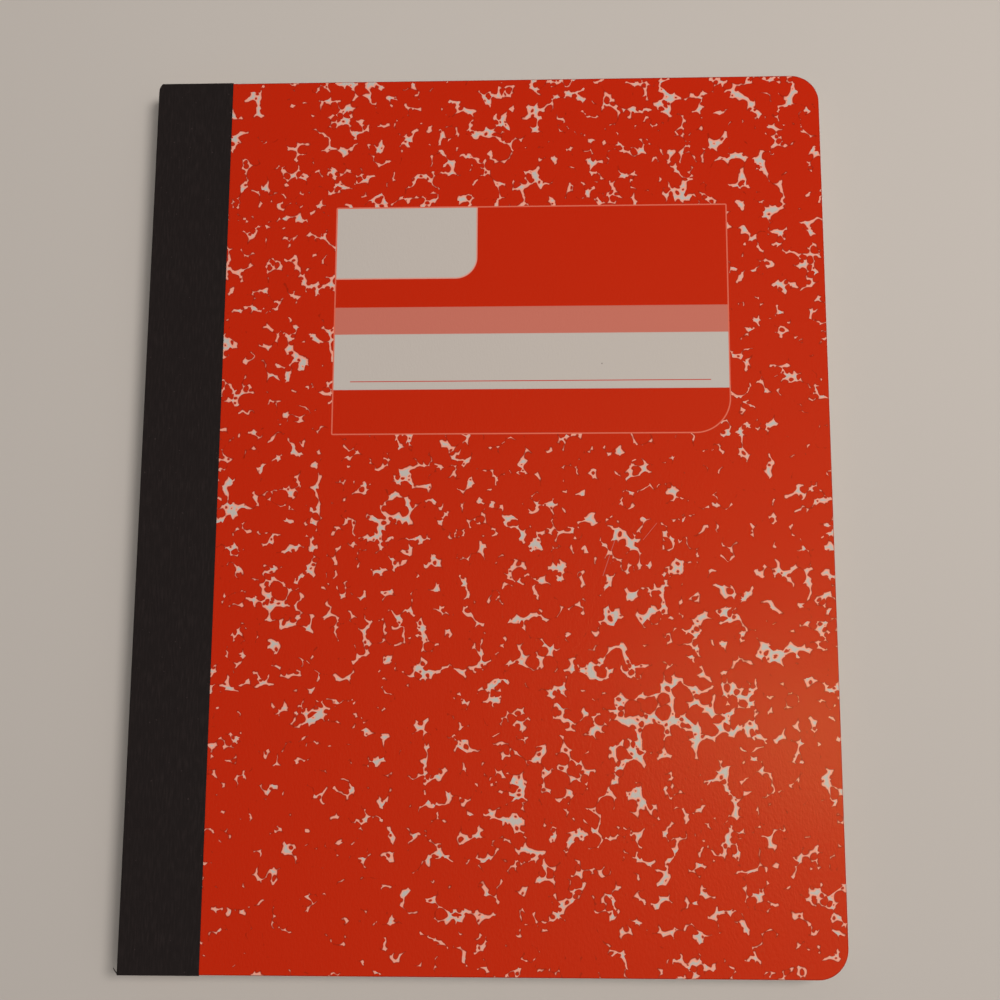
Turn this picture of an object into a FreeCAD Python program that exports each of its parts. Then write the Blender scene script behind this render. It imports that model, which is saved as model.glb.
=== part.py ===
import FreeCAD, Part

import math
import os

import Sketcher

# A composition notebook, closed and lying flat on its back cover.
# Fifty sheets are folded once, sewn through the fold, and held between two stiff covers
# by a cloth tape that is wrapped round the spine. The three open sides are trimmed flush
# and the two corners at the fore edge are cut round.
#
# Frame: millimetres. +X runs from the spine to the fore edge, +Y from the tail to the head,
# +Z from the back cover to the front cover. The origin is under the middle of the notebook,
# on the surface that it lies on. Each sub-part is drawn from the spine's outer line, and its
# Placement carries that line to its place.

SIZES = {
    "cover_height": 247.65,
    "cover_width": 190.5,
    "corner_radius": 8.0,
    "block_thickness": 8.0,
    "board_thickness": 1.0,
    "tape_thickness": 0.25,
    "tape_pressed": 0.1,
    "tape_reach": 21.8,
    "crown_radius": 3.0,
    "gutter_radius": 0.4,
    "gutter_length": 3.5,
    "thread_diameter": 0.5,
    "needle_ease": 0.05,
    "stitch_count": 25,
    "stitch_margin": 3.825,
}

# How far the tape stands proud of a cover, and the levels that follow from it
PROUD = "(sizes.tape_thickness - sizes.tape_pressed)"
BLOCK_BASE = f"({PROUD} + sizes.board_thickness)"
BLOCK_TOP = f"({BLOCK_BASE} + sizes.block_thickness)"
BOARD_TOP = f"({BLOCK_TOP} + sizes.board_thickness)"
TOTAL = f"({BOARD_TOP} + {PROUD})"
MIDDLE = f"({TOTAL} / 2)"

# Where the innermost fold lies, and the places that follow from it
INNER_FOLD = "(sizes.tape_thickness + sizes.block_thickness / 2)"
GUTTER_CENTRE = f"({INNER_FOLD} + sizes.gutter_radius)"
THREAD_RADIUS = "(sizes.thread_diameter / 2)"
RUN_CENTRE = f"(sizes.tape_thickness + {THREAD_RADIUS})"
HOLE_RADIUS = f"({THREAD_RADIUS} + sizes.needle_ease)"
FIRST_STITCH = "(sizes.stitch_margin - sizes.cover_height / 2)"
STITCHED_LENGTH = "(sizes.cover_height - 2 * sizes.stitch_margin)"

# A sketch's own axes, and the points of a line or an arc, as the constraints number them
AXIS_X, AXIS_Y = range(-1, -3, -1)
START, END, CENTRE = range(1, 4)

QUARTER = math.pi / 2

doc = FreeCAD.newDocument("composition_notebook")


def make_sheet():
    """The driving dimensions: a name and a plain number in each row."""
    cells = doc.addObject("Spreadsheet::Sheet", "sizes")
    for row, (alias, number) in enumerate(SIZES.items(), start=1):
        cells.set(f"A{row}", alias)
        cells.set(f"B{row}", str(number))
        cells.setAlias(f"B{row}", alias)
    doc.recompute()
    return cells


sheet = make_sheet()


def value(expression):
    """The number that an expression over the sheet gives."""
    return float(sheet.evalExpression(expression.replace("sizes.", "")))


def point(x, y):
    return FreeCAD.Vector(x, y, 0)


def new_body(name):
    """A body whose own origin lies on the spine's outer line."""
    body = doc.addObject("PartDesign::Body", name)
    body.Label = name
    body.setExpression("Placement.Base.x", "-sizes.cover_width / 2")
    return body


def new_sketch(body, role, name, offset=None):
    """A sketch on one of the body's own origin planes, raised along its normal by an offset."""
    plane = [f for f in body.Origin.OriginFeatures if f.Role == role][0]
    sketch = body.newObject("Sketcher::SketchObject", name)
    sketch.AttachmentSupport = [(plane, "")]
    sketch.MapMode = "FlatFace"
    if offset is not None:
        sketch.setExpression("AttachmentOffset.Base.z", offset)
    return sketch


def bind(sketch, name, kind, elements, expression):
    """A named measure of a sketch, tied to the sheet."""
    index = sketch.addConstraint(Sketcher.Constraint(kind, *elements, value(expression)))
    sketch.renameConstraint(index, name)
    sketch.setExpression(f"Constraints.{name}", expression)


def add_lines(sketch, corners):
    """A closed ring of straight lines through the corners."""
    first = sketch.GeometryCount
    count = len(corners)
    for i in range(count):
        ends = (point(*corners[i]), point(*corners[(i + 1) % count]))
        sketch.addGeometry(Part.LineSegment(*ends), False)
    for i in range(count):
        after = first + (i + 1) % count
        sketch.addConstraint(Sketcher.Constraint("Coincident", first + i, END, after, START))
    return first


def add_arc(sketch, centre, radius, begin, finish):
    circle = Part.Circle(point(*centre), FreeCAD.Vector(0, 0, 1), radius)
    return sketch.addGeometry(Part.ArcOfCircle(circle, begin, finish), False)


def pad_up(body, sketch, name, length):
    pad = body.newObject("PartDesign::Pad", name)
    pad.Profile = sketch
    pad.setExpression("Length", length)
    return pad


def pad_along_spine(body, sketch, name):
    """A prism of the sketch's section, from tail to head."""
    pad = body.newObject("PartDesign::Pad", name)
    pad.Profile = sketch
    pad.setExpression("Length", "sizes.cover_height")
    pad.Midplane = True
    return pad


def cut_along_spine(body, sketch, name):
    """A cut of the sketch's section, from tail to head."""
    pocket = body.newObject("PartDesign::Pocket", name)
    pocket.Profile = sketch
    pocket.setExpression("Length", "sizes.cover_height")
    pocket.Midplane = True
    return pocket


def repeat_stitches(body, feature, name):
    """The same feature at every stitch, from the tail to the head."""
    along = [f for f in body.Origin.OriginFeatures if f.Role == "Y_Axis"][0]
    pattern = body.newObject("PartDesign::LinearPattern", name)
    pattern.Originals = [feature]
    pattern.Direction = (along, [""])
    pattern.setExpression("Length", STITCHED_LENGTH)
    pattern.setExpression("Occurrences", "sizes.stitch_count")
    body.Tip = pattern
    return pattern


def trimmed_outline(body, name, base):
    """The shape that the covers and the pages share, seen from above: flush on three sides,
    square at the spine and cut round at the two corners of the fore edge."""
    sketch = new_sketch(body, "XY_Plane", name, base)
    left = value("sizes.tape_thickness")
    right = value("sizes.cover_width")
    half = value("sizes.cover_height") / 2
    radius = value("sizes.corner_radius")
    turn = right - radius
    tail = sketch.addGeometry(Part.LineSegment(point(left, -half), point(turn, -half)), False)
    tail_arc = add_arc(sketch, (turn, radius - half), radius, -QUARTER, 0)
    fore = sketch.addGeometry(
        Part.LineSegment(point(right, radius - half), point(right, half - radius)), False
    )
    head_arc = add_arc(sketch, (turn, half - radius), radius, 0, QUARTER)
    head = sketch.addGeometry(Part.LineSegment(point(turn, half), point(left, half)), False)
    spine = sketch.addGeometry(Part.LineSegment(point(left, half), point(left, -half)), False)
    for pair in (
        (tail, END, tail_arc, START),
        (tail_arc, END, fore, START),
        (fore, END, head_arc, START),
        (head_arc, END, head, START),
    ):
        sketch.addConstraint(Sketcher.Constraint("Tangent", *pair))
    sketch.addConstraint(Sketcher.Constraint("Coincident", head, END, spine, START))
    sketch.addConstraint(Sketcher.Constraint("Coincident", spine, END, tail, START))
    sketch.addConstraint(Sketcher.Constraint("Horizontal", tail))
    sketch.addConstraint(Sketcher.Constraint("Vertical", fore))
    sketch.addConstraint(Sketcher.Constraint("Horizontal", head))
    sketch.addConstraint(Sketcher.Constraint("Equal", tail_arc, head_arc))
    sketch.addConstraint(Sketcher.Constraint("Symmetric", spine, START, spine, END, AXIS_X))
    bind(sketch, "corner", "Radius", (tail_arc,), "sizes.corner_radius")
    bind(sketch, "height", "DistanceY", (spine, END, spine, START), "sizes.cover_height")
    bind(sketch, "spine_side", "DistanceX", (AXIS_X, START, tail, START), "sizes.tape_thickness")
    bind(sketch, "fore_side", "DistanceX", (AXIS_X, START, fore, START), "sizes.cover_width")
    return sketch


def round_fold(body):
    """The two waste corners that the rounded back of the folded sheets leaves, as one cut."""
    sketch = new_sketch(body, "XZ_Plane", "fold_corners")
    left = value("sizes.tape_thickness")
    radius = value("sizes.crown_radius")
    for name, level, sign in (("lower", BLOCK_BASE, 1), ("upper", BLOCK_TOP, -1)):
        edge = value(level)
        corner = point(left, edge)
        on_face = point(left + radius, edge)
        on_crown = point(left, edge + sign * radius)
        flat = sketch.addGeometry(Part.LineSegment(corner, on_face), False)
        crown = sketch.addGeometry(Part.LineSegment(on_crown, corner), False)
        centre = (left + radius, edge + sign * radius)
        if sign > 0:
            arc = add_arc(sketch, centre, radius, 2 * QUARTER, 3 * QUARTER)
            face_end, crown_end = END, START
        else:
            arc = add_arc(sketch, centre, radius, QUARTER, 2 * QUARTER)
            face_end, crown_end = START, END
        sketch.addConstraint(Sketcher.Constraint("Coincident", crown, END, flat, START))
        sketch.addConstraint(Sketcher.Constraint("Tangent", flat, END, arc, face_end))
        sketch.addConstraint(Sketcher.Constraint("Tangent", crown, START, arc, crown_end))
        sketch.addConstraint(Sketcher.Constraint("Horizontal", flat))
        sketch.addConstraint(Sketcher.Constraint("Vertical", crown))
        bind(sketch, f"{name}_round", "Radius", (arc,), "sizes.crown_radius")
        bind(sketch, f"{name}_x", "DistanceX", (AXIS_X, START, flat, START), "sizes.tape_thickness")
        bind(sketch, f"{name}_level", "DistanceY", (AXIS_X, START, flat, START), level)
    return cut_along_spine(body, sketch, "round_the_fold")


def open_gutter(body):
    """The teardrop channel that the innermost fold leaves, with its point to the fore edge."""
    sketch = new_sketch(body, "XZ_Plane", "gutter_section")
    radius = value("sizes.gutter_radius")
    reach = value("sizes.gutter_length")
    centre_x = value(GUTTER_CENTRE)
    middle = value(MIDDLE)
    lean = math.acos(radius / reach)
    touch_x = centre_x + radius * math.cos(lean)
    touch_y = radius * math.sin(lean)
    tip = point(centre_x + reach, middle)
    arc = add_arc(sketch, (centre_x, middle), radius, lean, 4 * QUARTER - lean)
    lower = sketch.addGeometry(Part.LineSegment(point(touch_x, middle - touch_y), tip), False)
    upper = sketch.addGeometry(Part.LineSegment(tip, point(touch_x, middle + touch_y)), False)
    sketch.addConstraint(Sketcher.Constraint("Tangent", arc, END, lower, START))
    sketch.addConstraint(Sketcher.Constraint("Coincident", lower, END, upper, START))
    sketch.addConstraint(Sketcher.Constraint("Tangent", upper, END, arc, START))
    bind(sketch, "round", "Radius", (arc,), "sizes.gutter_radius")
    bind(sketch, "centre_x", "DistanceX", (AXIS_X, START, arc, CENTRE), GUTTER_CENTRE)
    bind(sketch, "centre_level", "DistanceY", (AXIS_X, START, arc, CENTRE), MIDDLE)
    bind(sketch, "reach", "DistanceX", (arc, CENTRE, lower, END), "sizes.gutter_length")
    bind(sketch, "tip_level", "DistanceY", (AXIS_X, START, lower, END), MIDDLE)
    return cut_along_spine(body, sketch, "gutter")


def press_groove(body):
    """The round-bottomed groove that the stitches draw into the crown of the fold."""
    sketch = new_sketch(body, "XZ_Plane", "groove_section")
    mouth = value("sizes.tape_thickness")
    deep = value(RUN_CENTRE)
    radius = value(HOLE_RADIUS)
    middle = value(MIDDLE)
    low = point(deep, middle - radius)
    high = point(deep, middle + radius)
    lower = sketch.addGeometry(Part.LineSegment(point(mouth, middle - radius), low), False)
    arc = add_arc(sketch, (deep, middle), radius, -QUARTER, QUARTER)
    upper = sketch.addGeometry(Part.LineSegment(high, point(mouth, middle + radius)), False)
    gate = sketch.addGeometry(
        Part.LineSegment(point(mouth, middle + radius), point(mouth, middle - radius)), False
    )
    sketch.addConstraint(Sketcher.Constraint("Tangent", lower, END, arc, START))
    sketch.addConstraint(Sketcher.Constraint("Tangent", arc, END, upper, START))
    sketch.addConstraint(Sketcher.Constraint("Coincident", upper, END, gate, START))
    sketch.addConstraint(Sketcher.Constraint("Coincident", gate, END, lower, START))
    sketch.addConstraint(Sketcher.Constraint("Horizontal", lower))
    sketch.addConstraint(Sketcher.Constraint("Vertical", gate))
    bind(sketch, "round", "Radius", (arc,), HOLE_RADIUS)
    bind(sketch, "centre_x", "DistanceX", (AXIS_X, START, arc, CENTRE), RUN_CENTRE)
    bind(sketch, "centre_level", "DistanceY", (AXIS_X, START, arc, CENTRE), MIDDLE)
    bind(sketch, "mouth", "DistanceX", (AXIS_X, START, lower, START), "sizes.tape_thickness")
    return cut_along_spine(body, sketch, "stitch_groove")


def circle_at(sketch, x, y, radius):
    """A circle whose centre and radius are tied to the sheet."""
    ring = Part.Circle(point(value(x), value(y)), FreeCAD.Vector(0, 0, 1), value(radius))
    circle = sketch.addGeometry(ring, False)
    bind(sketch, "round", "Radius", (circle,), radius)
    bind(sketch, "centre_x", "DistanceX", (AXIS_X, START, circle, CENTRE), x)
    bind(sketch, "centre_y", "DistanceY", (AXIS_X, START, circle, CENTRE), y)


def punch_holes(body):
    """The holes that the needle makes, from the crown of the fold to the gutter."""
    sketch = new_sketch(body, "YZ_Plane", "needle_section", "sizes.tape_thickness")
    circle_at(sketch, FIRST_STITCH, MIDDLE, HOLE_RADIUS)
    hole = body.newObject("PartDesign::Pocket", "needle_hole")
    hole.Profile = sketch
    hole.setExpression("Length", f"{GUTTER_CENTRE} - sizes.tape_thickness")
    hole.Reversed = True
    return repeat_stitches(body, hole, "needle_holes")


def make_page_block():
    """A hundred leaves as one solid: fifty sheets folded once, one inside the other."""
    body = new_body("page_block")
    outline = trimmed_outline(body, "page_outline", BLOCK_BASE)
    pad_up(body, outline, "folded_sheets", "sizes.block_thickness")
    round_fold(body)
    open_gutter(body)
    press_groove(body)
    punch_holes(body)
    return body


def make_cover(name, base, outer_face, step_cut_upwards):
    """A stiff board with the shallow step where the tape is pressed into its outer face."""
    body = new_body(name)
    outline = trimmed_outline(body, f"{name}_outline", base)
    pad_up(body, outline, f"{name}_board", "sizes.board_thickness")
    sketch = new_sketch(body, "XY_Plane", f"{name}_tape_step", outer_face)
    near = value("sizes.tape_thickness")
    far = value("sizes.tape_reach")
    half = value("sizes.cover_height") / 2
    ring = add_lines(sketch, [(near, -half), (far, -half), (far, half), (near, half)])
    tail, edge, head, spine = ring, ring + 1, ring + 2, ring + 3
    for side in (tail, head):
        sketch.addConstraint(Sketcher.Constraint("Horizontal", side))
    sketch.addConstraint(Sketcher.Constraint("Vertical", spine))
    sketch.addConstraint(Sketcher.Constraint("Symmetric", edge, START, edge, END, AXIS_X))
    bind(sketch, "height", "DistanceY", (edge, START, edge, END), "sizes.cover_height")
    bind(sketch, "near", "DistanceX", (AXIS_X, START, tail, START), "sizes.tape_thickness")
    bind(sketch, "reach", "DistanceX", (AXIS_X, START, tail, END), "sizes.tape_reach")
    step = body.newObject("PartDesign::Pocket", f"{name}_step")
    step.Profile = sketch
    step.setExpression("Length", "sizes.tape_pressed")
    step.Reversed = step_cut_upwards
    return body


def tape_section(body, name, corners):
    """A straight-sided section of the tape. Each corner is a pair of expressions, and a
    missing one leaves the corner on the spine's outer line or on the surface below."""
    sketch = new_sketch(body, "XZ_Plane", f"{name}_section")
    places = [(value(x) if x else 0, value(z) if z else 0) for x, z in corners]
    ring = add_lines(sketch, places)
    for i, (x, z) in enumerate(corners):
        sides = (("x", "DistanceX", x, AXIS_Y), ("z", "DistanceY", z, AXIS_X))
        for side, kind, expression, axis in sides:
            if expression is None:
                held = Sketcher.Constraint("PointOnObject", ring + i, START, axis)
                sketch.addConstraint(held)
            else:
                elements = (AXIS_X, START, ring + i, START)
                bind(sketch, f"corner_{i + 1}_{side}", kind, elements, expression)
    return sketch


def make_tape(name, corners):
    """One leaf of the tape, mitred where it meets the next at a bend."""
    body = new_body(name)
    pad_along_spine(body, tape_section(body, name, corners), f"{name}_strip")
    return body


def make_tapes():
    """The tape is one strip. Its two outer leaves are glued to the covers and turn with them,
    and its middle is glued to the crown of the fold."""
    inner = "sizes.tape_thickness"
    edge = "sizes.tape_reach"
    top_inner = f"({TOTAL} - sizes.tape_thickness)"
    back = [(None, None), (edge, None), (edge, inner), (inner, inner)]
    front = [(None, TOTAL), (inner, top_inner), (edge, top_inner), (edge, TOTAL)]
    middle = [(None, None), (inner, inner), (inner, top_inner), (None, TOTAL)]
    return [
        make_tape("tape_back", back),
        make_tape("tape_front", front),
        make_tape("tape_spine", middle),
    ]


def make_needle_thread():
    """The thread outside the fold: a run in the crown's groove, with a leg through each hole."""
    body = new_body("needle_thread")
    run = new_sketch(body, "XZ_Plane", "needle_run_section")
    circle_at(run, RUN_CENTRE, MIDDLE, THREAD_RADIUS)
    pad_along_spine(body, run, "needle_run")
    section = new_sketch(body, "YZ_Plane", "needle_leg_section", RUN_CENTRE)
    circle_at(section, FIRST_STITCH, MIDDLE, THREAD_RADIUS)
    leg = pad_up(body, section, "needle_leg", f"{INNER_FOLD} - {RUN_CENTRE}")
    repeat_stitches(body, leg, "needle_legs")
    return body


def make_bobbin_thread():
    """The thread inside the fold, drawn tight against the innermost sheet."""
    body = new_body("bobbin_thread")
    run = new_sketch(body, "XZ_Plane", "bobbin_run_section")
    circle_at(run, f"({INNER_FOLD} + {THREAD_RADIUS})", MIDDLE, THREAD_RADIUS)
    pad_along_spine(body, run, "bobbin_run")
    return body


def failed_objects():
    return [o.Name for o in doc.Objects if "Invalid" in o.State or "Error" in o.State]


bodies = [
    make_page_block(),
    make_cover("back_cover", PROUD, PROUD, True),
    make_cover("front_cover", BLOCK_TOP, BOARD_TOP, False),
    *make_tapes(),
    make_needle_thread(),
    make_bobbin_thread(),
]
doc.recompute()

if failed_objects():
    raise RuntimeError(f"these objects failed: {failed_objects()}")
for body in bodies:
    if body.Shape.isNull() or not body.Shape.isValid():
        raise RuntimeError(f"{body.Label} has no valid shape")

os.makedirs("parts", exist_ok=True)
for body in bodies:
    body.Shape.exportStep(f"parts/{body.Label}.step")
    box = body.Shape.BoundBox
    solids = len(body.Shape.Solids)
    low = f"({box.XMin:.3f}, {box.YMin:.3f}, {box.ZMin:.3f})"
    high = f"({box.XMax:.3f}, {box.YMax:.3f}, {box.ZMax:.3f})"
    print(f"{body.Label}: {solids} solid, {body.Shape.Volume:.1f} mm3, {low} to {high}")
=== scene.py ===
import math

import bmesh
import bpy
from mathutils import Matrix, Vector


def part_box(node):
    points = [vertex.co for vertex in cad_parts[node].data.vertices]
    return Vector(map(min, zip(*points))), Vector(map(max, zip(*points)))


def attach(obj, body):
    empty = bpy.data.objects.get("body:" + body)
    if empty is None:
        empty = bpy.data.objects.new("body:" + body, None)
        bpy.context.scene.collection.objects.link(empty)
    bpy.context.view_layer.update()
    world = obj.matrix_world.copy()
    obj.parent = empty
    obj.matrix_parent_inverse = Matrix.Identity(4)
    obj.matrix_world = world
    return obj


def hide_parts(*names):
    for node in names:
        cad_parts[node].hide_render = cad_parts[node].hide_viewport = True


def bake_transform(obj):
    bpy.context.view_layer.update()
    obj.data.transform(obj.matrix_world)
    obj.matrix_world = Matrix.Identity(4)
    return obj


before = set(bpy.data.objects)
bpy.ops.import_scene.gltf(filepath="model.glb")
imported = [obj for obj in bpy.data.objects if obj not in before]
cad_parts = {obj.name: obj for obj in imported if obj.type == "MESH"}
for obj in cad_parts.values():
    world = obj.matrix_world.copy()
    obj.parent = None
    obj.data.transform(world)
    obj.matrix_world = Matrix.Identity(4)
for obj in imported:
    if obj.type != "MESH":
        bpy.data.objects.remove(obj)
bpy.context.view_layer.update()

MM = 0.001

# Lengths in metres below which two places, and two points of a mesh, are taken as one
SAME_PLACE = 1e-6
SAME_POINT = 1e-7

# Places that the looks share with the frame
front_low, front_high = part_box("front_cover")
block_low, block_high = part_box("page_block")
tape_low, tape_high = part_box("tape_front")
strip_low, strip_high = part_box("tape_spine")

SPINE = strip_low.x
TAPE_EDGE = tape_high.x
TAIL = front_low.y
HEAD = front_high.y
TOP = strip_high.z
MIDDLE = TOP / 2
TAPE_THICK = strip_high.x - strip_low.x
PRESSED = front_high.z - tape_low.z
HALF_BLOCK = (block_high.z - block_low.z) / 2
INNER_FOLD = block_low.x + HALF_BLOCK
FORE_EDGE = block_high.x

# The boards and the leaves: round corners, and the boards' soft rims
CORNER_RADIUS = 8.0 * MM
CORNER_STEPS = 14
BOARD_EDGE_ROUND = 0.38 * MM
BOARD_EDGE_STEPS = 3

# The tape: its bend round a board, how far it creases there, and the step that it pressed
TAPE_BEND = 0.5 * MM
TAPE_BEND_STEPS = 8
TAPE_STEP_RUN = 0.05 * MM

# The worn corner at the head of the spine and the frayed thread at its tail
WORN_LENGTH = 2.6 * MM
WORN_DEPTH = 0.9 * MM
WORN_HEIGHT = 3.0 * MM
WORN_CUTS = 7
WORN_END = 0.1 * MM
FRAY_LENGTH = 2.1 * MM
FRAY_THICK = 0.4 * MM
FRAY_DROP = 0.7 * MM
FRAY_SIDES = 8
FRAY_BENDS = (0.35, 0.7)
FRAY_LEAN = math.radians(-88)
FRAY_TURN = math.radians(42)

# The folded sheets, the crown of their fold and the gutter inside it
SHEETS = 50
LEAF_SHARE = 0.9
LEAF_CUTS = [step * MM for step in (0.0, 0.06, 0.2, 0.4, 0.6, 1.0, 2.0, 3.0, 3.9)]
CROWN_RADIUS = 3.0 * MM
CROWN_STEPS = 8
GUTTER_RADIUS = 0.4 * MM
GUTTER_LENGTH = 3.5 * MM

# Colours as they look on the real notebook, in sRGB from 0 to 255
RED_INK = (188, 31, 6)
# RED_RIM: the ink's darker rim round the gaps; darkened by RIM_SHADE, also the painted shade on the
# boards' rims
RED_RIM = (152, 24, 5)
PAPER_WHITE = (188, 177, 169)
PAPER_RIM = (234, 154, 132)
PINK_INK = (193, 108, 93)
LINE_PINK = (214, 104, 82)
RIM_PINK = (214, 150, 134)
TAPE_BLACK = (29, 23, 22)
# BOARD_PULP_AND_HIGHLIGHT: the card's bare pale core, painted brighter than the card as the
# highlight its rim catches
BOARD_PULP_AND_HIGHLIGHT = (236, 200, 186)
LEAF_WHITE = (216, 208, 199)
RULE_BLUE = (120, 150, 190)
MARGIN_RED = (205, 110, 115)
FLOOR_PALE = (194, 185, 177)
SKY_PALE = (205, 198, 190)
THREAD_WHITE = (200, 196, 188)

# The printed panel on the front cover, in millimetres from the middle of the notebook
PANEL = ((-42.2, 19.8), (68.1, 85.4))
PANEL_ROUND = 9.8
TAB = ((-42.2, 64.5), (-2.3, 85.4))
TAB_ROUND = 6.0
BAND = ((-42.2, 48.3), (68.1, 56.1))
FIELD = ((-42.2, 32.4), (68.1, 48.3))
WRITING_LINE = ((-37.4, 34.6), (62.9, 34.84))
FRAME_LINE = 0.35
SQUARE = 0.3
INK_EDGE = 0.1

# The marbled ground: drops of red ink that spread until only torn gaps of white are left.
# Each size of drop has its spacing, radius and spread of radius in millimetres, and how softly
# neighbouring drops run together. Each swirl has its size and reach.
DROPS = ((5.18, 2.32, 1.75, 0.36), (3.83, 1.72, 2.18, 0.06), (1.87, 0.69, 1.26, 0.14))
DROP_STEP = 31.0
DROP_BLEND = 0.52
SWIRLS = ((6.4, 1.96), (1.64, 0.51))
LEAST_GAP = 0.11

# The ink's colours by depth in a gap, in millimetres and negative under the ink
INK_STOPS = (
    (-0.3, RED_INK),
    (-0.1, RED_RIM),
    (0.09, PAPER_RIM),
    (0.24, PAPER_RIM),
    (0.48, PAPER_WHITE),
)

# Where gaps open or close: lumps, a lift along the head from one height to another, and broad
# drifts with their middle, reach and lift
LUMP_SIZE = 16.0
LUMP_DEPTH = 0.9
HEAD_DRIFT = (70.0, 120.0, 0.06)
DRIFTS = (
    ((40.0, -50.0), 60.0, 0.20),
    ((-62.0, -115.0), 85.0, -0.32),
    ((62.0, 22.0), 44.0, -0.30),
    ((20.0, -138.0), 45.0, -0.40),
)
BACK_SHIFT = (140.0, 210.0, 0.0)

# Depths on a board's rim, in millimetres, where painted shade darkens its ink, its ink ends and
# its lining ends
RIM_SHADE_DEPTHS = (0.004, 0.02)
CUT_EDGE = (0.08, 0.12)
LINING_EDGE = (0.01, 0.04)
# How much the painted shade on the rim shows, and how dark it is
RIM_SHADE_SHARE = 0.75
RIM_SHADE = 0.7

# The ruling on the leaves, in millimetres
RULE_PITCH = 8.7
RULE_WIDTH = 0.25
HEAD_MARGIN = 34.0
FOOT_MARGIN = 12.0
SIDE_MARGIN = 31.75

# The sheen of each finish, as a roughness and a level of reflection, the depth of its relief in
# metres, and the size of its grain in millimetres
COAT_SHEEN = (0.2, 0.25)
COAT_TINT = (0.7, 0.8, 0.32, 1.0)
COAT_DEPTH = 0.05 * MM
PEEL_SIZE = 0.45
PEEL_DRAWN = (1.0, 0.45, 1.0)
WAVE_SIZE = 30.0
WAVE_SHARE = 3.0
CLOTH_SHEEN = (0.65, 0.12)
CLOTH_DEPTH = 0.06 * MM
GRAIN_SIZE = 0.45
GRAIN_DRAWN = (1.0, 0.12, 1.0)
WEAVE_SCALE = 0.9
WEAVE_SHARE = 0.15
PAPER_SHEEN = (0.85, 0.2)
PAPER_DEPTH = 0.02 * MM
COTTON_SHEEN = (0.8, 0.5)
COTTON_DEPTH = 0.1 * MM
TWIST_SCALE = 1.2
TABLE_SHEEN = (0.7, 0.2)

# Small marks of use on the front: two faint scratches, each with its ends and width, and a speck
SCRATCHES = (((36.5, -8.2), (32.6, -19.6), 0.16), ((47.4, -5.2), (43.6, -9.8), 0.12))
SCRATCH_SHARE = 0.25
SPECK = ((32.65, 39.3), (32.95, 39.65))
SPECK_ROUND = 0.14
SPECK_SHARE = 0.7

# The table: half its side, in metres, and a hair's lift that keeps its top off the level of the
# tape's outer face. In millimetres, where painted shade darkens it towards the tail, and how far
# out it fades into the backdrop.
FLOOR_HALF = 3.0
FLOOR_LIFT = 0.02 * MM
FLOOR_SHADE_SPAN = (160.0, -180.0)
FLOOR_PATCH = 300.0
FLOOR_SHADE = 0.88
HAZE_REACH = (450.0, 1500.0)

# The room's light: soft and even, with a bright window on the fore-edge side, and two lamps
WORLD_STRENGTH = 0.26
GLOW_STRENGTH = 1.6
GLOW_SLOPE = (0.5, -0.04, 0.0)
GLOW_SPREAD = (0.38, 0.24)
KEY_PLACE = (0.56, 0.15, 1.07)
KEY_SIZE = (0.38, 0.38)
KEY_POWER = 8.4
CEILING_PLACE = (0.51, -0.16, 1.9)
CEILING_SIZE = (0.16, 0.6)
CEILING_POWER = 1.8
KEY_COLOUR = (1.0, 0.99, 0.97)
CEILING_COLOUR = (1.0, 0.95, 0.82)

# The camera, in metres above the notebook and in degrees
CAMERA_PLACE = (0.02477, -0.04633, 0.33432)
CAMERA_TILT = (8.508, 1.802, 0.036)
CAMERA_LENS = 44.47
CAMERA_SHIFT = (-0.035, -0.009)


def linear(colour):
    """An sRGB colour from 0 to 255 as the linear colour that a shader takes."""
    parts = [c / 255 for c in colour]
    return [p / 12.92 if p <= 0.04045 else ((p + 0.055) / 1.055) ** 2.4 for p in parts] + [1.0]


# Modelling helpers


def deselect():
    bpy.ops.object.select_all(action="DESELECT")


def activate(obj):
    deselect()
    obj.select_set(True)
    bpy.context.view_layer.objects.active = obj


def edit(obj):
    activate(obj)
    bpy.ops.object.mode_set(mode="EDIT")


def leave_edit():
    bpy.ops.object.mode_set(mode="OBJECT")


def choose(obj, kind, test):
    """In edit mode, selects only the vertices, edges or faces that pass the test."""
    bpy.ops.mesh.select_mode(type=kind)
    bpy.ops.mesh.select_all(action="DESELECT")
    mesh = bmesh.from_edit_mesh(obj.data)
    groups = {"VERT": mesh.verts, "EDGE": mesh.edges, "FACE": mesh.faces}
    for item in groups[kind]:
        if test(item):
            item.select_set(True)
    bmesh.update_edit_mesh(obj.data)


def cut_across(place, axis):
    """In edit mode, cuts the whole mesh at a place on the axis, however close the last cut is."""
    bpy.ops.mesh.select_all(action="SELECT")
    point = [place * part for part in axis]
    bpy.ops.mesh.bisect(plane_co=point, plane_no=axis, threshold=SAME_POINT)


def near(a, b):
    return abs(a - b) < SAME_PLACE


def edge_centre(edge):
    return (edge.verts[0].co + edge.verts[1].co) / 2


def apply_modifier(obj, kind, name, **settings):
    modifier = obj.modifiers.new(name, kind)
    for key, setting in settings.items():
        setattr(modifier, key, setting)
    activate(obj)
    bpy.ops.object.modifier_apply(modifier=name)


def settle(obj):
    """Leaves the object at the origin, with its place in its mesh."""
    activate(obj)
    bpy.ops.object.transform_apply(location=True, rotation=True, scale=True)


def box_between(name, low, high):
    deselect()
    bpy.ops.mesh.primitive_cube_add(size=1, location=(low + high) / 2)
    obj = bpy.context.object
    obj.name = name
    obj.scale = high - low
    settle(obj)
    return obj


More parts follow.
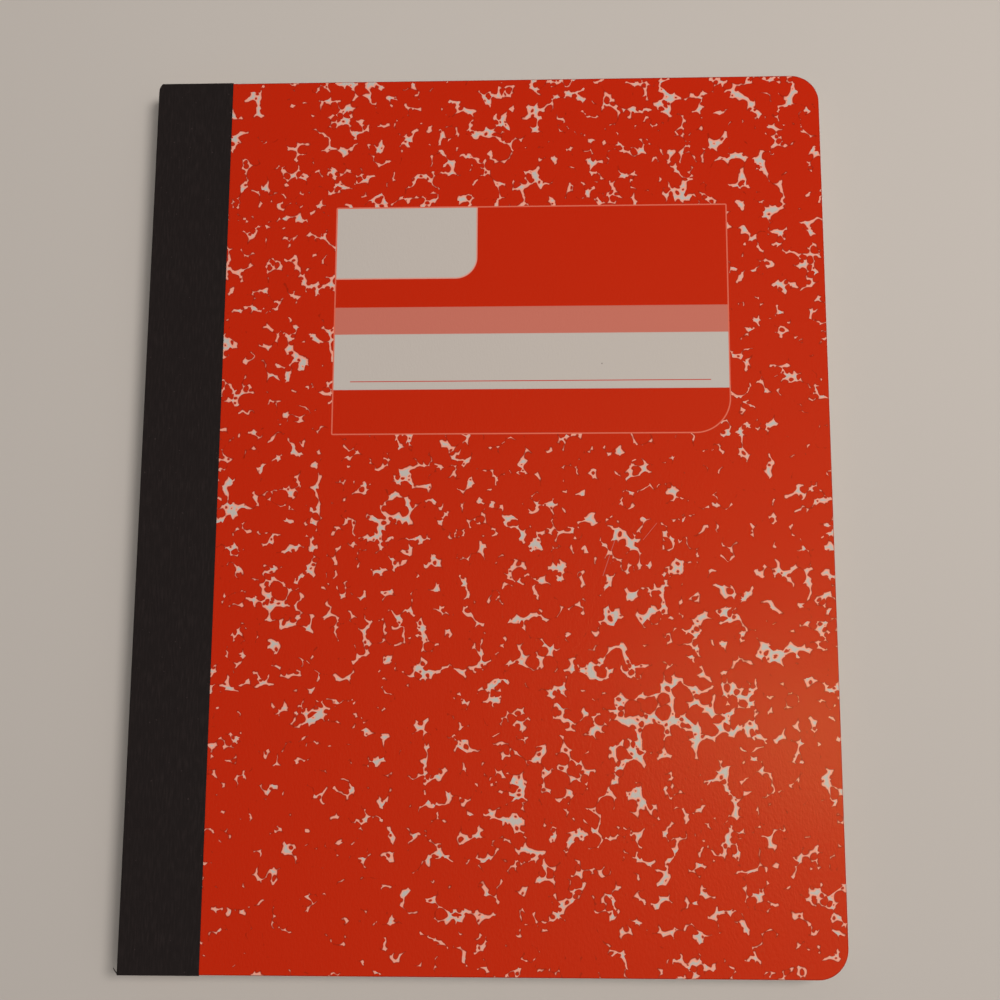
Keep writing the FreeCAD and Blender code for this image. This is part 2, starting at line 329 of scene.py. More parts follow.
def plane_between(name, low, high, level):
    deselect()
    centre = ((low[0] + high[0]) / 2, (low[1] + high[1]) / 2, level)
    bpy.ops.mesh.primitive_plane_add(size=1, location=centre)
    obj = bpy.context.object
    obj.name = name
    obj.scale = (high[0] - low[0], high[1] - low[1], 1)
    settle(obj)
    return obj


def smooth(obj, degrees=40):
    """Rounds the shading of curved faces and keeps the broad flat ones flat."""
    activate(obj)
    bpy.ops.object.shade_smooth_by_angle(angle=math.radians(degrees))
    apply_modifier(obj, "WEIGHTED_NORMAL", "flat_faces", keep_sharp=True)


def paint(obj, material):
    obj.data.materials.clear()
    obj.data.materials.append(material)


def wear_corner(obj):
    """Rounds the spine's corner at the head of the front, where the cover is handled."""
    edit(obj)
    for cut in range(WORN_CUTS):
        place = HEAD - WORN_LENGTH * (cut / WORN_CUTS) ** 2 - WORN_END
        cut_across(place, (0, 1, 0))
    leave_edit()
    for vertex in obj.data.vertices:
        up = (vertex.co.z - (TOP - WORN_HEIGHT)) / (WORN_HEIGHT / 2)
        along = (vertex.co.y - (HEAD - WORN_LENGTH)) / WORN_LENGTH
        across = 1 - (vertex.co.x - SPINE) / (4 * WORN_DEPTH)
        share = min(max(up, 0), 1) * max(along, 0) ** 3 * min(max(across, 0), 1)
        vertex.co.x += WORN_DEPTH * share


# Covers


def make_board(name, node, outwards):
    """A cover's board: round fore-edge corners, the pressed step under the tape, soft rims."""
    low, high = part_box(node)
    board = box_between(name, low, high)
    outer = high.z if outwards > 0 else low.z
    edit(board)
    choose(
        board,
        "EDGE",
        lambda e: near(edge_centre(e).x, high.x) and near(edge_centre(e).z, (low.z + high.z) / 2),
    )
    bpy.ops.mesh.bevel(offset=CORNER_RADIUS, segments=CORNER_STEPS, affect="EDGES")
    for place in (TAPE_EDGE - TAPE_STEP_RUN, TAPE_EDGE):
        cut_across(place, (1, 0, 0))
    choose(
        board,
        "VERT",
        lambda v: v.co.x < TAPE_EDGE - TAPE_STEP_RUN / 2 and near(v.co.z, outer),
    )
    bpy.ops.transform.translate(value=(0, 0, -outwards * PRESSED))
    choose(
        board,
        "EDGE",
        lambda e: edge_centre(e).x > TAPE_EDGE + TAPE_STEP_RUN
        and len({round(f.normal.z) for f in e.link_faces}) > 1
        and abs(e.verts[0].co.z - e.verts[1].co.z) < SAME_POINT,
    )
    bpy.ops.mesh.bevel(offset=BOARD_EDGE_ROUND, segments=BOARD_EDGE_STEPS, affect="EDGES")
    leave_edit()
    if outwards > 0:
        wear_corner(board)
    smooth(board)
    return board


# Tape


def make_tape(name, side):
    """Half of the tape's strip, from the middle of the spine round a cover's edge and onto it."""
    level = TOP if side > 0 else 0.0
    start = (SPINE + TAPE_BEND, TAIL)
    tape = plane_between(name, start, (TAPE_EDGE, HEAD), level)
    edit(tape)
    choose(tape, "EDGE", lambda e: near(edge_centre(e).x, SPINE + TAPE_BEND))
    bpy.ops.mesh.spin(
        steps=TAPE_BEND_STEPS,
        angle=math.radians(90) * side,
        center=(SPINE + TAPE_BEND, 0, level - side * TAPE_BEND),
        axis=(0, 1, 0),
    )
    bpy.ops.mesh.extrude_region_move(
        TRANSFORM_OT_translate={"value": (0, 0, MIDDLE - (level - side * TAPE_BEND))}
    )
    bpy.ops.mesh.select_all(action="SELECT")
    bpy.ops.mesh.remove_doubles(threshold=SAME_POINT)
    bpy.ops.mesh.normals_make_consistent(inside=False)
    leave_edit()
    flat = [p for p in tape.data.polygons if abs(p.normal.z) > 0.9]
    if flat[0].normal.z * side < 0:
        edit(tape)
        bpy.ops.mesh.select_all(action="SELECT")
        bpy.ops.mesh.flip_normals()
        leave_edit()
    if side > 0:
        wear_corner(tape)
    apply_modifier(tape, "SOLIDIFY", "tape_thickness", thickness=TAPE_THICK, offset=-1)
    smooth(tape)
    return tape


def make_frayed_thread():
    """A stiff thread of the tape that sticks out at the tail of the spine."""
    deselect()
    bpy.ops.mesh.primitive_cone_add(
        vertices=FRAY_SIDES,
        radius1=FRAY_THICK / 2,
        radius2=FRAY_THICK / 5,
        depth=FRAY_LENGTH,
        location=(0, 0, FRAY_LENGTH / 2),
    )
    thread = bpy.context.object
    thread.name = "frayed_thread"
    settle(thread)
    edit(thread)
    for share in FRAY_BENDS:
        cut_across(FRAY_LENGTH * share, (0, 0, 1))
        choose(thread, "VERT", lambda v: v.co.z > FRAY_LENGTH * share + SAME_PLACE)
        bpy.ops.transform.translate(value=(FRAY_THICK / 4, 0, 0))
    leave_edit()
    thread.rotation_euler = (FRAY_LEAN, 0, FRAY_TURN)
    thread.location = (SPINE + FRAY_THICK / 2, TAIL + FRAY_THICK / 4, TOP - FRAY_DROP)
    settle(thread)
    smooth(thread)
    return thread


# Pages


def gutter_half_height(x):
    """Half the opening that the innermost fold leaves, at a distance x from that fold."""
    centre = GUTTER_RADIUS
    tip = centre + GUTTER_LENGTH
    lean = math.acos(GUTTER_RADIUS / GUTTER_LENGTH)
    touch = centre + GUTTER_RADIUS * math.cos(lean)
    if x <= 0 or x >= tip:
        return 0.0
    if x <= touch:
        return math.sqrt(max(GUTTER_RADIUS**2 - (x - centre) ** 2, 0.0))
    return (tip - x) * GUTTER_RADIUS * math.sin(lean) / (tip - touch)


def make_sheet_pattern():
    """The outermost sheet as a surface: a leaf above, the round fold and a leaf below."""
    fold_end = block_low.x + CROWN_RADIUS
    level = MIDDLE + HALF_BLOCK
    sheet = plane_between("folded_sheets", (fold_end, TAIL), (FORE_EDGE, HEAD), level)
    edit(sheet)
    choose(sheet, "VERT", lambda v: near(v.co.x, FORE_EDGE))
    bpy.ops.mesh.bevel(offset=CORNER_RADIUS, segments=CORNER_STEPS, affect="VERTICES")
    for step in LEAF_CUTS:
        cut_across(INNER_FOLD + step, (1, 0, 0))
    choose(sheet, "EDGE", lambda e: near(edge_centre(e).x, fold_end))
    bpy.ops.mesh.spin(
        steps=CROWN_STEPS,
        angle=math.radians(90),
        center=(fold_end, 0, level - CROWN_RADIUS),
        axis=(0, 1, 0),
    )
    bpy.ops.mesh.extrude_region_move(
        TRANSFORM_OT_translate={"value": (0, 0, CROWN_RADIUS - HALF_BLOCK)}
    )
    bpy.ops.mesh.select_all(action="SELECT")
    bpy.ops.mesh.remove_doubles(threshold=SAME_POINT)
    leave_edit()
    middle = bpy.data.objects.new("middle_marker", None)
    middle.location = (0, 0, MIDDLE)
    bpy.context.scene.collection.objects.link(middle)
    bpy.context.view_layer.update()
    apply_modifier(
        sheet, "MIRROR", "leaf_below", use_axis=(False, False, True), mirror_object=middle
    )
    bpy.data.objects.remove(middle)
    return sheet


def make_folded_sheets():
    """Fifty sheets, folded once and nested one inside the other."""
    pattern = make_sheet_pattern()
    leaf = HALF_BLOCK / SHEETS * LEAF_SHARE
    sheets = []
    for i in range(SHEETS):
        share = 1 - i / SHEETS
        sheet = pattern.copy()
        sheet.data = pattern.data.copy()
        bpy.context.scene.collection.objects.link(sheet)
        for vertex in sheet.data.vertices:
            x, y, z = vertex.co
            if x < INNER_FOLD:
                x = INNER_FOLD - (INNER_FOLD - x) * share
                z = MIDDLE + (z - MIDDLE) * share
            else:
                hole = gutter_half_height(x - INNER_FOLD)
                z = MIDDLE + math.copysign(hole + (HALF_BLOCK - hole) * share, z - MIDDLE)
            vertex.co = (x, y, z)
        apply_modifier(sheet, "SOLIDIFY", "leaf_thickness", thickness=leaf, offset=-1)
        sheets.append(sheet)
    bpy.data.objects.remove(pattern)
    deselect()
    for sheet in sheets:
        sheet.select_set(True)
    bpy.context.view_layer.objects.active = sheets[0]
    bpy.ops.object.join()
    joined = bpy.context.object
    joined.name = "folded_sheets"
    smooth(joined, 30)
    return joined


# Material helpers


def shaded(colour, share):
    """A colour, darkened to a share of its light."""
    return [c * share for c in linear(colour)[:3]] + [1.0]


def new_material(name):
    material = bpy.data.materials.new(name)
    material.use_nodes = True
    return material, material.node_tree, material.node_tree.nodes["Principled BSDF"]


def add(tree, kind, inputs=None, **settings):
    """A node with its settings, and with each input linked to a socket or set to a number."""
    node = tree.nodes.new(kind)
    for key, setting in settings.items():
        setattr(node, key, setting)
    for socket, source in (inputs or {}).items():
        if isinstance(source, bpy.types.NodeSocket):
            tree.links.new(source, node.inputs[socket])
        else:
            node.inputs[socket].default_value = source
    return node


def calc(tree, operation, a, b=0.0, c=0.0):
    """One step of arithmetic on sockets or numbers."""
    return add(tree, "ShaderNodeMath", {0: a, 1: b, 2: c}, operation=operation).outputs[0]


def vector(tree, operation, a, b=(0, 0, 0)):
    return add(tree, "ShaderNodeVectorMath", {0: a, 1: b}, operation=operation)


def scaled(tree, source, factor):
    inputs = {0: source, "Scale": factor}
    return add(tree, "ShaderNodeVectorMath", inputs, operation="SCALE").outputs[0]


def ramp_between(tree, source, low, high):
    """0 below low and 1 above high, with a soft step between them."""
    inputs = {"Value": source, "From Min": low, "From Max": high}
    node = add(tree, "ShaderNodeMapRange", inputs, interpolation_type="SMOOTHSTEP")
    return node.outputs["Result"]


def mix_colour(tree, share, a, b):
    """Colour a where share is 0 and colour b where it is 1."""
    return add(tree, "ShaderNodeMix", {0: share, 6: a, 7: b}, data_type="RGBA").outputs[2]


def point_in_mm(tree):
    """The point on the notebook, in millimetres in its own frame."""
    return scaled(tree, add(tree, "ShaderNodeTexCoord").outputs["Object"], 1 / MM)


def noise(tree, point, size, detail=2.0, output="Fac", dimensions="3D"):
    """Noise whose lumps are about size millimetres across."""
    inputs = {"Vector": point, "Scale": 1 / size, "Detail": detail}
    node = add(tree, "ShaderNodeTexNoise", inputs, noise_dimensions=dimensions)
    return node.outputs[output]


def swirled(tree, point, size, amount):
    """The point, pushed about on the flat of the cover in swirls of the given size."""
    push = noise(tree, point, size, 1.0, output="Color", dimensions="2D")
    centred = vector(tree, "SUBTRACT", push, (0.5, 0.5, 0.5)).outputs[0]
    return vector(tree, "ADD", point, scaled(tree, centred, amount)).outputs[0]


def shape_distance(tree, point, corners, radius=SQUARE, foot_radius=None):
    """The distance to a box's outline, in millimetres and negative inside. Its corners are
    rounded, and foot_radius rounds the corner at the tail and the fore edge by itself."""
    (x0, y0), (x1, y1) = corners
    centre = ((x0 + x1) / 2, (y0 + y1) / 2, 0)
    half = ((x1 - x0) / 2, (y1 - y0) / 2, 0)
    from_centre = vector(tree, "SUBTRACT", point, centre).outputs[0]
    round_off = radius
    if foot_radius is not None:
        parts = add(tree, "ShaderNodeSeparateXYZ", {0: from_centre})
        right = calc(tree, "GREATER_THAN", parts.outputs["X"], 0.0)
        low = calc(tree, "LESS_THAN", parts.outputs["Y"], 0.0)
        foot = calc(tree, "MULTIPLY", right, low)
        extra = calc(tree, "MULTIPLY", foot, foot_radius - radius)
        round_off = calc(tree, "ADD", extra, radius)
    reach = add(tree, "ShaderNodeCombineXYZ", {"X": round_off, "Y": round_off})
    core = vector(tree, "SUBTRACT", half, reach.outputs[0]).outputs[0]
    away = vector(tree, "ABSOLUTE", from_centre).outputs[0]
    beyond = vector(tree, "SUBTRACT", away, core).outputs[0]
    flat = vector(tree, "MULTIPLY", vector(tree, "MAXIMUM", beyond).outputs[0], (1, 1, 0))
    length = vector(tree, "LENGTH", flat.outputs[0]).outputs["Value"]
    return calc(tree, "SUBTRACT", length, round_off)


def inside(tree, distance):
    """1 inside an outline and 0 outside, with the soft edge that ink has on card."""
    return calc(tree, "SUBTRACT", 1.0, ramp_between(tree, distance, -INK_EDGE, INK_EDGE))


def along_outline(tree, distance, width):
    """1 on a line of the given width along an outline."""
    return inside(tree, calc(tree, "SUBTRACT", calc(tree, "ABSOLUTE", distance), width / 2))


def give_relief(tree, shader, height, strength, depth):
    """A fine relief of the given depth in metres, for the light only."""
    bump = add(tree, "ShaderNodeBump", {"Strength": strength, "Distance": depth, "Height": height})
    tree.links.new(bump.outputs[0], shader.inputs["Normal"])


def give_surface(tree, shader, colour, sheen):
    """The colour of a material, and its sheen as a roughness and a level of reflection."""
    tree.links.new(colour, shader.inputs["Base Color"])
    shader.inputs["Roughness"].default_value = sheen[0]
    shader.inputs["Specular IOR Level"].default_value = sheen[1]


# Marbled print


def outside_drops(tree, point, drop, shift):
    """How far the point is outside the nearest drop of one size, in millimetres."""
    spacing, radius, spread, softness = drop
    moved = vector(tree, "ADD", point, (shift, shift, 0)).outputs[0]
    inputs = {"Vector": moved, "Scale": 1 / spacing, "Smoothness": softness}
    drops = add(tree, "ShaderNodeTexVoronoi", inputs, voronoi_dimensions="2D", feature="SMOOTH_F1")
    own = add(tree, "ShaderNodeSeparateColor", {0: drops.outputs["Color"]}).outputs[0]
    reach = calc(tree, "MULTIPLY_ADD", own, -spread, spread / 2 - radius)
    return calc(tree, "MULTIPLY_ADD", drops.outputs["Distance"], spacing, reach)


def ink_drift(tree, point):
    """Where the gaps open wider or close: in lumps, along the head and in a few broad drifts."""
    lumps = noise(tree, point, LUMP_SIZE, 1.0, dimensions="2D")
    drift = calc(tree, "MULTIPLY_ADD", lumps, LUMP_DEPTH, -LUMP_DEPTH / 2)
    height = add(tree, "ShaderNodeSeparateXYZ", {0: point}).outputs["Y"]
    low, high, lift = HEAD_DRIFT
    drift = calc(tree, "MULTIPLY_ADD", ramp_between(tree, height, low, high), lift, drift)
    for (x, y), reach, lift in DRIFTS:
        away = vector(tree, "DISTANCE", point, (x, y, 0)).outputs["Value"]
        drift = calc(tree, "MULTIPLY_ADD", ramp_between(tree, away, reach, 0.0), lift, drift)
    return drift


def marble_gaps(tree, point):
    """How deep the point lies in a gap between the drops of ink, in millimetres."""
    flat = vector(tree, "MULTIPLY", point, (1, 1, 0)).outputs[0]
    loose = flat
    for size, amount in SWIRLS:
        loose = swirled(tree, loose, size, amount)
    gap = outside_drops(tree, loose, DROPS[0], 0.0)
    for number, drop in enumerate(DROPS[1:], 1):
        layer = outside_drops(tree, loose, drop, DROP_STEP * number)
        gap = calc(tree, "SMOOTH_MIN", gap, layer, DROP_BLEND)
    drift = calc(tree, "SUBTRACT", ink_drift(tree, flat), LEAST_GAP)
    return calc(tree, "ADD", gap, drift)


def marble_colour(tree, gap):
    """Red ink that thickens to a darker rim, then the pale rim and the white of the card."""
    scale = add(tree, "ShaderNodeMapRange", {"Value": gap, "From Min": -0.5, "From Max": 0.5})
    ramp = add(tree, "ShaderNodeValToRGB", {"Fac": scale.outputs["Result"]})
    stops = ramp.color_ramp.elements
    while len(stops) < len(INK_STOPS):
        stops.new(0.5)
    for stop, (depth, ink) in zip(stops, INK_STOPS):
        stop.position = depth + 0.5
        stop.color = linear(ink)
    return ramp.outputs["Color"]


def ink_with_panel(tree, point, ground):
    """The printed panel laid over the marbled ground: fields of colour and thin lines."""
    panel = shape_distance(tree, point, PANEL, SQUARE, PANEL_ROUND)
    tab = shape_distance(tree, point, TAB, SQUARE, TAB_ROUND)
    colour = mix_colour(tree, inside(tree, panel), ground, linear(RED_INK))
    for shape, ink in ((BAND, PINK_INK), (FIELD, PAPER_WHITE), (WRITING_LINE, RED_INK)):
        field = inside(tree, shape_distance(tree, point, shape, SQUARE / 3))
        colour = mix_colour(tree, field, colour, linear(ink))
    colour = mix_colour(tree, inside(tree, tab), colour, linear(PAPER_WHITE))
    for outline, ink in ((tab, RIM_PINK), (panel, LINE_PINK)):
        line = along_outline(tree, outline, FRAME_LINE)
        colour = mix_colour(tree, line, colour, linear(ink))
    return colour


def scratch_mask(tree, point, start, end, width):
    """1 along a straight scratch, fading at its sides."""
    middle = ((start[0] + end[0]) / 2, (start[1] + end[1]) / 2, 0)
    along = (end[0] - start[0], end[1] - start[1])
    length = math.hypot(*along)
    turn = (0, 0, math.atan2(along[1], along[0]))
    inputs = {"Vector": point, "Location": middle, "Rotation": turn}
    own = add(tree, "ShaderNodeMapping", inputs, vector_type="TEXTURE").outputs[0]
    away = shape_distance(tree, own, ((-length / 2, -width / 2), (length / 2, width / 2)), width / 2)
    return calc(tree, "SUBTRACT", 1.0, ramp_between(tree, away, -width / 2, width / 2))


def with_marks(tree, point, colour):
    """Adds the marks of use: pale scratches and one dark speck."""
    for start, end, width in SCRATCHES:
        mask = scratch_mask(tree, point, start, end, width)
        share = calc(tree, "MULTIPLY", mask, SCRATCH_SHARE)
        colour = mix_colour(tree, share, colour, linear(PAPER_WHITE))
    speck = inside(tree, shape_distance(tree, point, SPECK, SPECK_ROUND))
    share = calc(tree, "MULTIPLY", speck, SPECK_SHARE)
    return mix_colour(tree, share, colour, linear(TAPE_BLACK))


def board_faces(tree, point, node, outwards):
    """1 on the printed outer face, on the rounded rim where shade is painted, and on the inner face,
    all read from the height in the board."""
    low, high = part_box(node)
    outer, inner = (high.z, low.z) if outwards > 0 else (low.z, high.z)
    level = add(tree, "ShaderNodeSeparateXYZ", {0: point}).outputs["Z"]
    from_outer = calc(tree, "ABSOLUTE", calc(tree, "SUBTRACT", level, outer / MM))
    from_inner = calc(tree, "ABSOLUTE", calc(tree, "SUBTRACT", level, inner / MM))
    printed = calc(tree, "SUBTRACT", 1.0, ramp_between(tree, from_outer, *CUT_EDGE))
    rim = ramp_between(tree, from_outer, *RIM_SHADE_DEPTHS)
    lined = calc(tree, "SUBTRACT", 1.0, ramp_between(tree, from_inner, *LINING_EDGE))
    return printed, rim, lined


def satin_relief(tree, point):
    """The coat's fine orange peel, drawn out along the height, over slow waves in the board."""
    drawn = vector(tree, "MULTIPLY", point, PEEL_DRAWN).outputs[0]
    peel = noise(tree, drawn, PEEL_SIZE, 2.0)
    waves = noise(tree, point, WAVE_SIZE, 0.0)
    return calc(tree, "MULTIPLY_ADD", waves, WAVE_SHARE, peel)


def cover_material(name, node, outwards, has_panel):
    """Printed card under a satin coat outside, with painted shade on its rim, bare pulp painted
    bright as a highlight at the edges and white paper inside.
    """
    material, tree, shader = new_material(name)
    point = point_in_mm(tree)
    if has_panel:
        ground = marble_colour(tree, marble_gaps(tree, point))
        ink = with_marks(tree, point, ink_with_panel(tree, point, ground))
    else:
        moved = vector(tree, "ADD", point, BACK_SHIFT).outputs[0]
        ink = marble_colour(tree, marble_gaps(tree, moved))
    printed, rim, lined = board_faces(tree, point, node, outwards)
    # Painted shade: the ink on the board's rounded rim darkens towards a deep red
    rim_painted_shade = calc(tree, "MULTIPLY", rim, RIM_SHADE_SHARE)
    ink = mix_colour(tree, rim_painted_shade, ink, shaded(RED_RIM, RIM_SHADE))
    # The bare pulp, painted brighter than the card as a highlight along the rim
    pulp_and_highlight = mix_colour(
        tree, noise(tree, point, 0.5, 3.0), linear(BOARD_PULP_AND_HIGHLIGHT), shaded(BOARD_PULP_AND_HIGHLIGHT, 0.8)
    )
    lining = mix_colour(
        tree, noise(tree, point, 2.0), linear(LEAF_WHITE), shaded(LEAF_WHITE, 0.94)
    )
    colour = mix_colour(tree, lined, pulp_and_highlight, lining)
    colour = mix_colour(tree, printed, colour, ink)
    give_surface(tree, shader, colour, COAT_SHEEN)
    shader.inputs["Specular Tint"].default_value = COAT_TINT
    give_relief(tree, shader, satin_relief(tree, point), 0.9, COAT_DEPTH)
    return material


def threads(tree, point, direction):
    """The ridges of the cloth's threads that cross the given direction."""
    inputs = {"Vector": point, "Scale": WEAVE_SCALE}
    node = add(tree, "ShaderNodeTexWave", inputs, bands_direction=direction)
    return node.outputs["Fac"]


def tape_material():
    """Matte black binding cloth: a fine weave that is pressed flat, with a lengthwise grain."""
    material, tree, shader = new_material("black_binding_cloth")
    point = point_in_mm(tree)
    drawn = vector(tree, "MULTIPLY", point, GRAIN_DRAWN).outputs[0]
    grain = noise(tree, drawn, GRAIN_SIZE, 3.0)
    weave = calc(tree, "ADD", threads(tree, point, "X"), threads(tree, point, "Y"))
    height = calc(tree, "MULTIPLY_ADD", weave, WEAVE_SHARE, grain)
    give_relief(tree, shader, height, 0.5, CLOTH_DEPTH)
    wear = noise(tree, point, 9.0, 3.0)
    fibres = calc(tree, "MULTIPLY", ramp_between(tree, grain, 0.4, 0.75), wear)
    colour = mix_colour(tree, fibres, linear(TAPE_BLACK), shaded(TAPE_BLACK, 1.9))
    lint = ramp_between(tree, noise(tree, point, 0.8, 1.0), 0.74, 0.8)
    colour = mix_colour(tree, lint, colour, shaded(TAPE_BLACK, 3.6))
    give_surface(tree, shader, colour, CLOTH_SHEEN)
    return material


def leaf_material():
    """Writing paper: wide-ruled in pale blue with a red margin on its faces, bare at its edges."""
    material, tree, shader = new_material("ruled_leaves")
    point = point_in_mm(tree)
    parts = add(tree, "ShaderNodeSeparateXYZ", {0: point})
    x, y = parts.outputs["X"], parts.outputs["Y"]
    normal = add(tree, "ShaderNodeTexCoord").outputs["Normal"]
    face = add(tree, "ShaderNodeSeparateXYZ", {0: normal})
    flat = ramp_between(tree, calc(tree, "ABSOLUTE", face.outputs["Z"]), 0.9, 0.95)
    from_head = calc(tree, "SUBTRACT", HEAD / MM - HEAD_MARGIN, y)
    wrapped = calc(tree, "PINGPONG", from_head, RULE_PITCH / 2)
    rule = calc(tree, "LESS_THAN", wrapped, RULE_WIDTH / 2)
    below_head = calc(tree, "GREATER_THAN", from_head, -RULE_WIDTH)
    above_foot = calc(tree, "GREATER_THAN", y, TAIL / MM + FOOT_MARGIN)
    rule = calc(tree, "MULTIPLY", rule, calc(tree, "MULTIPLY", below_head, above_foot))
    from_margin = calc(tree, "ABSOLUTE", calc(tree, "SUBTRACT", x, SPINE / MM + SIDE_MARGIN))
    margin = calc(tree, "LESS_THAN", from_margin, RULE_WIDTH / 2)
    tone = noise(tree, point, 5.0, 3.0)
    colour = mix_colour(tree, tone, linear(LEAF_WHITE), shaded(LEAF_WHITE, 0.93))
    colour = mix_colour(tree, calc(tree, "MULTIPLY", rule, flat), colour, linear(RULE_BLUE))
    colour = mix_colour(tree, calc(tree, "MULTIPLY", margin, flat), colour, linear(MARGIN_RED))
    give_surface(tree, shader, colour, PAPER_SHEEN)
    give_relief(tree, shader, noise(tree, point, 0.25, 3.0), 0.15, PAPER_DEPTH)
    return material


def thread_material():
    """White cotton thread, twisted."""
    material, tree, shader = new_material("twisted_thread")
    point = point_in_mm(tree)
    inputs = {"Vector": point, "Scale": TWIST_SCALE}
    twist = add(tree, "ShaderNodeTexWave", inputs, bands_direction="DIAGONAL").outputs["Fac"]
    colour = mix_colour(tree, twist, shaded(THREAD_WHITE, 0.8), linear(THREAD_WHITE))
    give_surface(tree, shader, colour, COTTON_SHEEN)
    give_relief(tree, shader, twist, 0.6, COTTON_DEPTH)
    return material


def floor_material():
    """A pale matte table top, darkened towards the tail by painted shade, that fades into the
    backdrop far from the notebook.
    """
    material, tree, shader = new_material("pale_table")
    point = point_in_mm(tree)
    along = add(tree, "ShaderNodeSeparateXYZ", {0: point}).outputs["Y"]
    patches = noise(tree, point, FLOOR_PATCH, 1.0)
    # Painted shade: darker towards the tail, mixed with broad random patches of tone
    shade = calc(tree, "ADD", ramp_between(tree, along, *FLOOR_SHADE_SPAN), patches)
    share = calc(tree, "MULTIPLY", shade, 0.5)
    colour = mix_colour(tree, share, linear(FLOOR_PALE), shaded(FLOOR_PALE, FLOOR_SHADE))
    give_surface(tree, shader, colour, TABLE_SHEEN)
    far = ramp_between(tree, vector(tree, "LENGTH", point).outputs["Value"], *HAZE_REACH)
    camera_ray = add(tree, "ShaderNodeLightPath").outputs["Is Camera Ray"]
    share = calc(tree, "MULTIPLY", far, camera_ray)
    haze = add(tree, "ShaderNodeEmission", {"Color": linear(SKY_PALE), "Strength": 1.0})
    inputs = {0: share, 1: shader.outputs[0], 2: haze.outputs[0]}
    both = add(tree, "ShaderNodeMixShader", inputs)
    tree.links.new(both.outputs[0], tree.nodes["Material Output"].inputs["Surface"])
    return material


# Table, lights and camera


def make_floor():
    low, high = (-FLOOR_HALF, -FLOOR_HALF), (FLOOR_HALF, FLOOR_HALF)
    floor = plane_between("table_top", low, high, FLOOR_LIFT)
    paint(floor, floor_material())


def add_lamp(name, place, size, power, colour):
    """A flat lamp of the given width and length, turned towards the notebook."""
    lamp = bpy.data.lights.new(name, "AREA")
    lamp.shape = "ELLIPSE"
    lamp.size, lamp.size_y = size
    lamp.energy = power
    lamp.color = colour
    obj = bpy.data.objects.new(name, lamp)
    obj.location = place
    obj.rotation_euler = (-Vector(place)).to_track_quat("-Z", "Y").to_euler()
    bpy.context.scene.collection.objects.link(obj)
    return obj


def window_glow(tree):
    """1 in the middle of a soft bright patch on the fore-edge side, fading all round it."""
    direction = add(tree, "ShaderNodeTexCoord").outputs["Generated"]
    height = add(tree, "ShaderNodeSeparateXYZ", {0: direction}).outputs["Z"]
    level = add(tree, "ShaderNodeCombineXYZ", {"X": height, "Y": height, "Z": 1.0}).outputs[0]
    slope = vector(tree, "DIVIDE", direction, level).outputs[0]
    away = vector(tree, "SUBTRACT", slope, GLOW_SLOPE).outputs[0]
    flat = vector(tree, "MULTIPLY", away, [1 / s for s in GLOW_SPREAD] + [0.0]).outputs[0]
    reach = vector(tree, "LENGTH", flat).outputs["Value"]
    fall = calc(tree, "MULTIPLY", calc(tree, "MULTIPLY", reach, reach), -0.5)
    above = calc(tree, "GREATER_THAN", height, 0.0)
    return calc(tree, "MULTIPLY", calc(tree, "EXPONENT", fall), above)


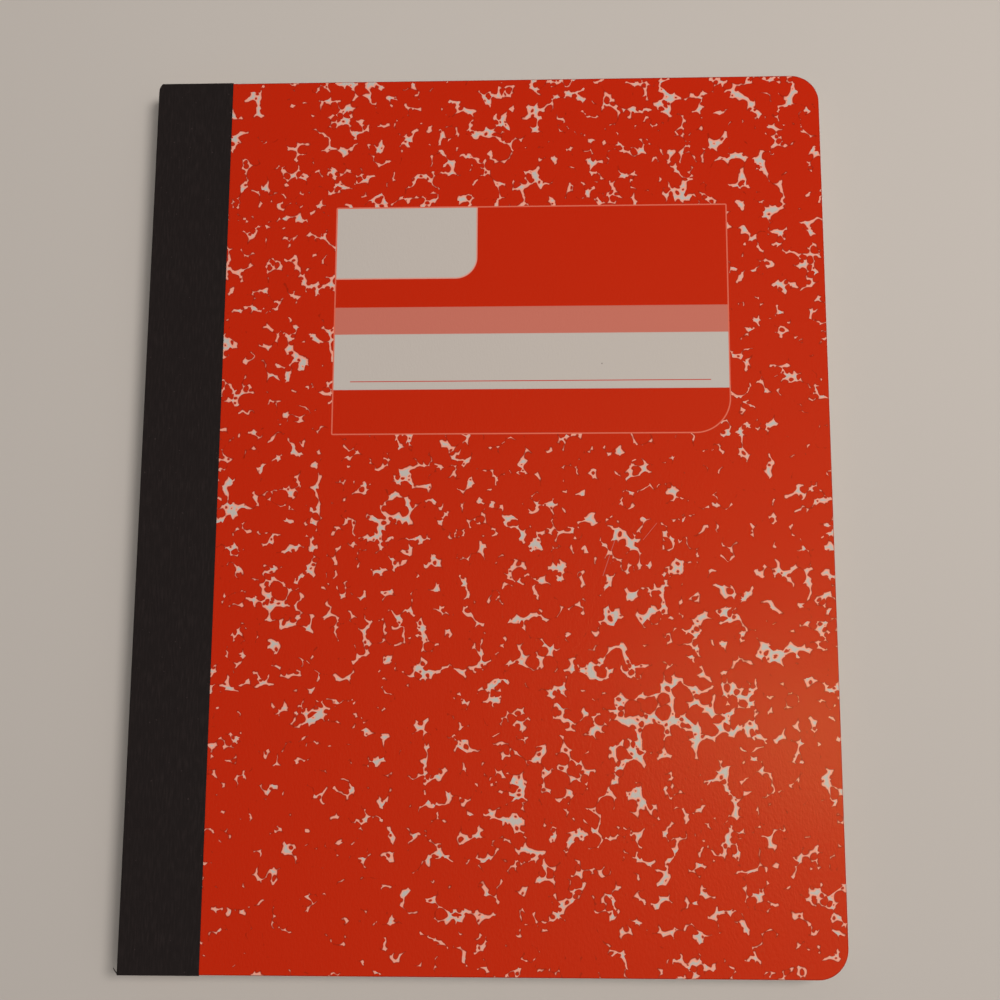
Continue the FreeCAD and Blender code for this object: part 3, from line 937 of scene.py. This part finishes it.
def light_the_room():
    """Soft light from all round and a bright window on the fore-edge side. The key shapes the
    shadows and doesn't show in the coat, and the ceiling lamp does."""
    world = bpy.data.worlds.new("room")
    world.use_nodes = True
    bpy.context.scene.world = world
    tree = world.node_tree
    tree.nodes.clear()
    strength = calc(tree, "MULTIPLY_ADD", window_glow(tree), GLOW_STRENGTH, WORLD_STRENGTH)
    inputs = {"Color": (1.0, 1.0, 1.0, 1.0), "Strength": strength}
    ambient = add(tree, "ShaderNodeBackground", inputs)
    shown = add(tree, "ShaderNodeBackground", {"Color": linear(SKY_PALE), "Strength": 1.0})
    camera_ray = add(tree, "ShaderNodeLightPath").outputs["Is Camera Ray"]
    inputs = {0: camera_ray, 1: ambient.outputs[0], 2: shown.outputs[0]}
    both = add(tree, "ShaderNodeMixShader", inputs)
    add(tree, "ShaderNodeOutputWorld", {"Surface": both.outputs[0]})
    key = add_lamp("key_lamp", KEY_PLACE, KEY_SIZE, KEY_POWER, KEY_COLOUR)
    key.visible_glossy = False
    add_lamp("ceiling_lamp", CEILING_PLACE, CEILING_SIZE, CEILING_POWER, CEILING_COLOUR)


def place_camera():
    """Looks down on the front cover from just below its middle, as the photo does."""
    data = bpy.data.cameras.new("camera")
    data.lens = CAMERA_LENS
    data.shift_x, data.shift_y = CAMERA_SHIFT
    camera = bpy.data.objects.new("camera", data)
    camera.location = Vector(CAMERA_PLACE) + Vector((0, 0, TOP))
    camera.rotation_euler = [math.radians(a) for a in CAMERA_TILT]
    bpy.context.scene.collection.objects.link(camera)
    bpy.context.scene.camera = camera


# Putting the notebook together


def dress_covers():
    front = make_board("front_board", "front_cover", 1)
    paint(front, cover_material("marbled_front", "front_cover", 1, True))
    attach(front, "front")
    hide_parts("front_cover")
    back = make_board("back_board", "back_cover", -1)
    paint(back, cover_material("marbled_back", "back_cover", -1, False))
    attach(back, "back")
    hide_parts("back_cover")


def dress_tape():
    cloth = tape_material()
    halves = (
        ("tape_over_front", 1, "front", ("tape_front", "tape_spine")),
        ("tape_over_back", -1, "back", ("tape_back",)),
    )
    for name, side, body, nodes in halves:
        tape = make_tape(name, side)
        paint(tape, cloth)
        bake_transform(tape)
        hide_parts(*nodes)
    thread = make_frayed_thread()
    paint(thread, cloth)
    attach(thread, "pages")


def dress_pages():
    sheets = make_folded_sheets()
    paint(sheets, leaf_material())
    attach(sheets, "pages")
    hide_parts("page_block")


def dress_threads():
    cotton = thread_material()
    for node in ("needle_thread", "bobbin_thread"):
        paint(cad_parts[node], cotton)


dress_covers()
dress_tape()
dress_pages()
dress_threads()
make_floor()
light_the_room()
place_camera()
bpy.context.scene.view_settings.view_transform = "Standard"
